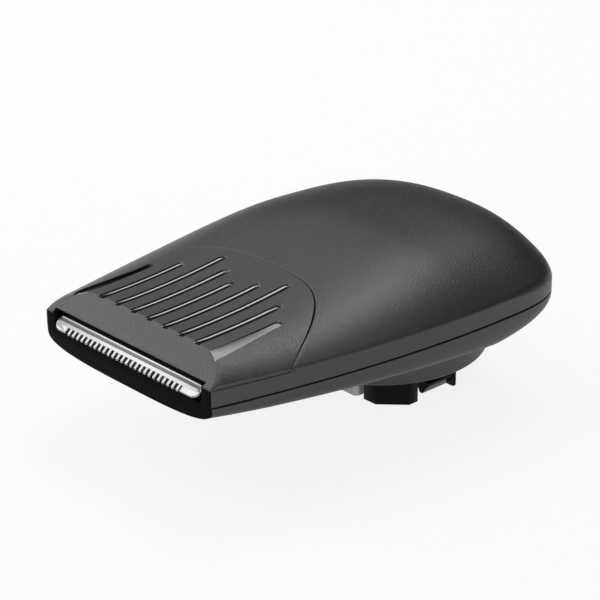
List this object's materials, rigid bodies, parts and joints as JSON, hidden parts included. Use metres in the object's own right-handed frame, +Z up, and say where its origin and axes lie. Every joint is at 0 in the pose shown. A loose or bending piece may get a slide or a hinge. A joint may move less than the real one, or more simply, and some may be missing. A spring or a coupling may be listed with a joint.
{
  "type": "hair clipper head",
  "caption": "Interchangeable hair clipper head: pebble-shaped housing with a toothed blade at the front, driven through a round click-on coupling below.",
  "frame": {"origin": "on the coupling axis, level with the collar's seating face", "axes": "+Z up along the coupling axis, away from the handle; +Y towards the rear of the head; the blade faces -Y"},
  "size_m": [0.0688, 0.0944, 0.0354],
  "materials": {
    "shell_black": "fine matt texture",
    "cover_black": "fine matt texture",
    "gloss_black": "polished",
    "black_rubber": "matt",
    "blade_steel": "ground",
    "spring_steel": "satin",
    "screw_steel": "bright zinc",
    "frame_black": "satin",
    "frame_grey": "satin",
    "key_grey": "satin",
    "bush_brass": "sintered",
    "ivory_plastic": "satin"
  },
  "bodies": {
    "housing": {"top_shell": "shell_black", "front_cover": "cover_black", "lower_shell": "shell_black", "joint_strip": "black_rubber", "nose_bezel": "gloss_black", "comb_blade": "blade_steel", "cutter_spring": "spring_steel", "blade_carrier": "frame_black", "blade_screws": "screw_steel", "carrier_screws": "screw_steel", "coupling_collar": "shell_black", "coupling_plate": "frame_black", "lug_ring": "frame_black", "snap_hook_left": "frame_black", "snap_hook_right": "frame_black", "locating_key": "key_grey", "plate_screws": "screw_steel", "chassis": "frame_grey", "lower_bush": "bush_brass", "upper_bush": "bush_brass", "seal_ring": "black_rubber", "pivot_pin": "spring_steel", "pivot_washer": "spring_steel", "pivot_clip": "spring_steel"},
    "spindle": {"drive_spindle": "spring_steel", "drive_socket": "ivory_plastic", "crank_disc": "spring_steel", "counterweight": "bush_brass"},
    "rocker": {"rocker_lever": "ivory_plastic", "rocker_bush": "bush_brass"},
    "cutter": {"cutter_blade": "blade_steel", "cutter_driver": "ivory_plastic"}
  },
  "joints": [
    {"name": "spindle_spin", "type": "hinge", "parent": "housing", "child": "spindle", "pos_m": [0, 0, 0.008], "axis": [0, 0, 1], "continuous": true},
    {"name": "rocker_swing", "type": "hinge", "parent": "housing", "child": "rocker", "pos_m": [0, -0.0205, 0.0154], "axis": [0, 0, 1], "range_deg": [-1.52, 1.52]},
    {"name": "cutter_slide", "type": "slide", "parent": "housing", "child": "cutter", "axis": [1, 0, 0], "range_m": [-0.0011, 0.0011]}
  ],
  "couplings": [
    {"joint": "cutter_slide", "follows": "rocker_swing", "m_per_rad": 0.0414}
  ]
}
